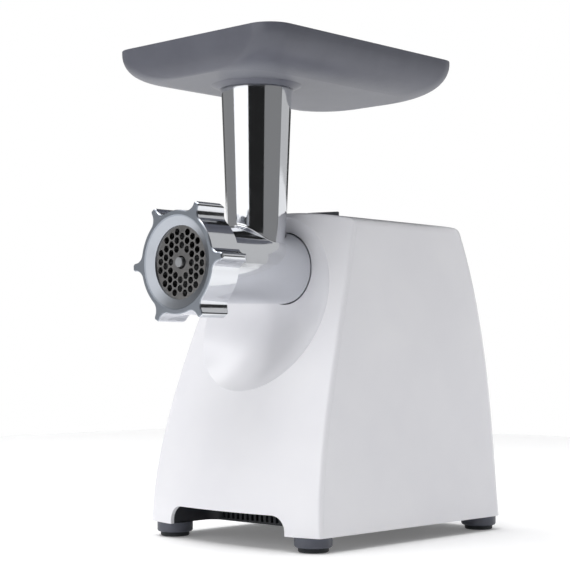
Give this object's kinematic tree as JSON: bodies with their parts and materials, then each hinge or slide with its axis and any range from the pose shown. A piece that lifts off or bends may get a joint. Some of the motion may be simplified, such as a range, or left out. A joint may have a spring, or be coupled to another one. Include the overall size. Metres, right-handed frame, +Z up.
{
  "type": "electric meat grinder",
  "caption": "Countertop electric meat grinder: moulded motor housing with a scooped front, polished grinding head, lobed ring nut, hole plate and a feed tray on the upright feed tube.",
  "frame": {"origin": "floor level under the middle of the whole object's box", "axes": "+Z up, the grinding head faces -Y, +X is to the right when the machine is seen from its front"},
  "size_m": [0.1824, 0.2886, 0.3842],
  "materials": {
    "white_shell": "glossy moulded plastic",
    "dark_base": "fine textured moulded plastic",
    "foot_grey": "moulded plastic",
    "foot_rubber": "matt rubber",
    "zinc_steel": "zinc plated",
    "gear_case_nylon": "glass filled nylon",
    "bronze": "sintered, oily",
    "ground_steel": "ground bright",
    "gear_acetal": "moulded acetal",
    "lamination_steel": "stacked sheet steel",
    "copper_wire": "enamelled copper",
    "carbon": "pressed carbon",
    "board_green": "laminate",
    "polished_aluminium": "mirror polished",
    "plate_steel": "ground flat",
    "ring_aluminium": "polished and satin",
    "tray_grey": "satin moulded plastic",
    "scroll_aluminium": "cast, tumbled",
    "knife_steel": "ground edges",
    "button_grey": "satin moulded plastic",
    "rocker_black": "glossy moulded plastic"
  },
  "bodies": {
    "power_unit": {"front_cover": "white_shell", "main_housing": "white_shell", "base_cover": "dark_base", "foot_cup_front_left": "foot_grey", "foot_cup_front_right": "foot_grey", "foot_cup_rear_left": "foot_grey", "foot_cup_rear_right": "foot_grey", "foot_pad_front_left": "foot_rubber", "foot_pad_front_right": "foot_rubber", "foot_pad_rear_left": "foot_rubber", "foot_pad_rear_right": "foot_rubber", "base_screws": "zinc_steel", "cord_inlet": "dark_base", "gear_case": "gear_case_nylon", "gear_case_cover": "gear_case_nylon", "gear_case_screws": "zinc_steel", "outlet_socket": "gear_case_nylon", "output_front_bush": "bronze", "output_rear_bush": "bronze", "first_gear_axle": "ground_steel", "second_gear_axle": "ground_steel", "stator_core": "lamination_steel", "field_coils": "copper_wire", "motor_front_bracket": "gear_case_nylon", "motor_rear_bracket": "gear_case_nylon", "motor_bearings": "ground_steel", "brush_holders": "dark_base", "carbon_brushes": "carbon", "circuit_board": "board_green", "latch_pin": "ground_steel", "latch_bracket": "zinc_steel", "button_springs": "ground_steel", "rocker_bezel": "button_grey", "rocker_switch_body": "dark_base", "reverse_bezel": "button_grey", "reverse_switch_body": "dark_base"},
    "drive": {"output_shaft": "ground_steel", "output_gear": "gear_acetal", "scroll": "scroll_aluminium", "drive_spigot": "dark_base", "cutter_knife": "knife_steel"},
    "first_gear": {"first_gear_wheel": "gear_acetal", "first_gear_pinion": "ground_steel"},
    "second_gear": {"second_gear_wheel": "gear_acetal", "second_gear_pinion": "ground_steel"},
    "armature": {"armature_shaft": "ground_steel", "armature_core": "lamination_steel", "armature_windings": "copper_wire", "commutator": "copper_wire", "cooling_fan": "dark_base", "motor_pinion": "ground_steel"},
    "head": {"grinding_head": "polished_aluminium", "plate_key": "ground_steel"},
    "screen": {"hole_plate": "plate_steel"},
    "ring": {"ring_nut": "ring_aluminium"},
    "tray": {"feed_tray": "tray_grey"},
    "button": {"release_button": "button_grey"},
    "latch": {"latch_lever": "dark_base"},
    "rocker": {"power_rocker": "rocker_black"},
    "reverse": {"reverse_button": "rocker_black"}
  },
  "joints": [
    {"name": "drive_spin", "type": "hinge", "parent": "power_unit", "child": "drive", "pos_m": [0, 0, 0.2135], "axis": [0, 1, 0], "continuous": true},
    {"name": "second_gear_spin", "type": "hinge", "parent": "power_unit", "child": "second_gear", "pos_m": [0, 0, 0.1785], "axis": [0, 1, 0], "continuous": true},
    {"name": "first_gear_spin", "type": "hinge", "parent": "power_unit", "child": "first_gear", "pos_m": [0, 0, 0.1455], "axis": [0, 1, 0], "continuous": true},
    {"name": "armature_spin", "type": "hinge", "parent": "power_unit", "child": "armature", "pos_m": [0, 0, 0.1143], "axis": [0, 1, 0], "continuous": true},
    {"name": "head_turn", "type": "hinge", "parent": "power_unit", "child": "head", "pos_m": [0, 0, 0.2135], "axis": [0, 1, 0], "range_deg": [0, 40]},
    {"name": "ring_turn", "type": "hinge", "parent": "screen", "child": "ring", "pos_m": [0, 0, 0.2135], "axis": [0, 1, 0], "range_deg": [0, 720]},
    {"name": "screen_slide", "type": "slide", "parent": "head", "child": "screen", "axis": [0, -1, 0], "range_m": [0, 0.006]},
    {"name": "tray_lift", "type": "slide", "parent": "head", "child": "tray", "axis": [0, 0, 1], "range_m": [0, 0.045]},
    {"name": "button_press", "type": "slide", "parent": "power_unit", "child": "button", "axis": [0, 0, -1], "range_m": [0, 0.0025], "stiffness_N_per_m": 800, "springref_m": -0.002, "deforming": ["button_springs"]},
    {"name": "latch_swing", "type": "hinge", "parent": "power_unit", "child": "latch", "pos_m": [0, 0, 0.2502], "axis": [1, 0, 0], "range_deg": [-10, 0]},
    {"name": "rocker_tilt", "type": "hinge", "parent": "power_unit", "child": "rocker", "pos_m": [-0.07791, 0.035, 0.14971], "axis": [0, 1, 0], "range_deg": [0, 14]},
    {"name": "reverse_press", "type": "slide", "parent": "power_unit", "child": "reverse", "axis": [0.9952, 0, -0.0976], "range_m": [0, 0.0025], "stiffness_N_per_m": 400, "springref_m": -0.002}
  ],
  "couplings": [
    {"joint": "first_gear_spin", "follows": "armature_spin", "ratio": -0.18182},
    {"joint": "second_gear_spin", "follows": "armature_spin", "ratio": 0.040404},
    {"joint": "drive_spin", "follows": "armature_spin", "ratio": -0.011019},
    {"joint": "screen_slide", "follows": "ring_turn", "m_per_rad": 0.00047746},
    {"joint": "latch_swing", "follows": "button_press", "rad_per_m": -62.5}
  ]
}
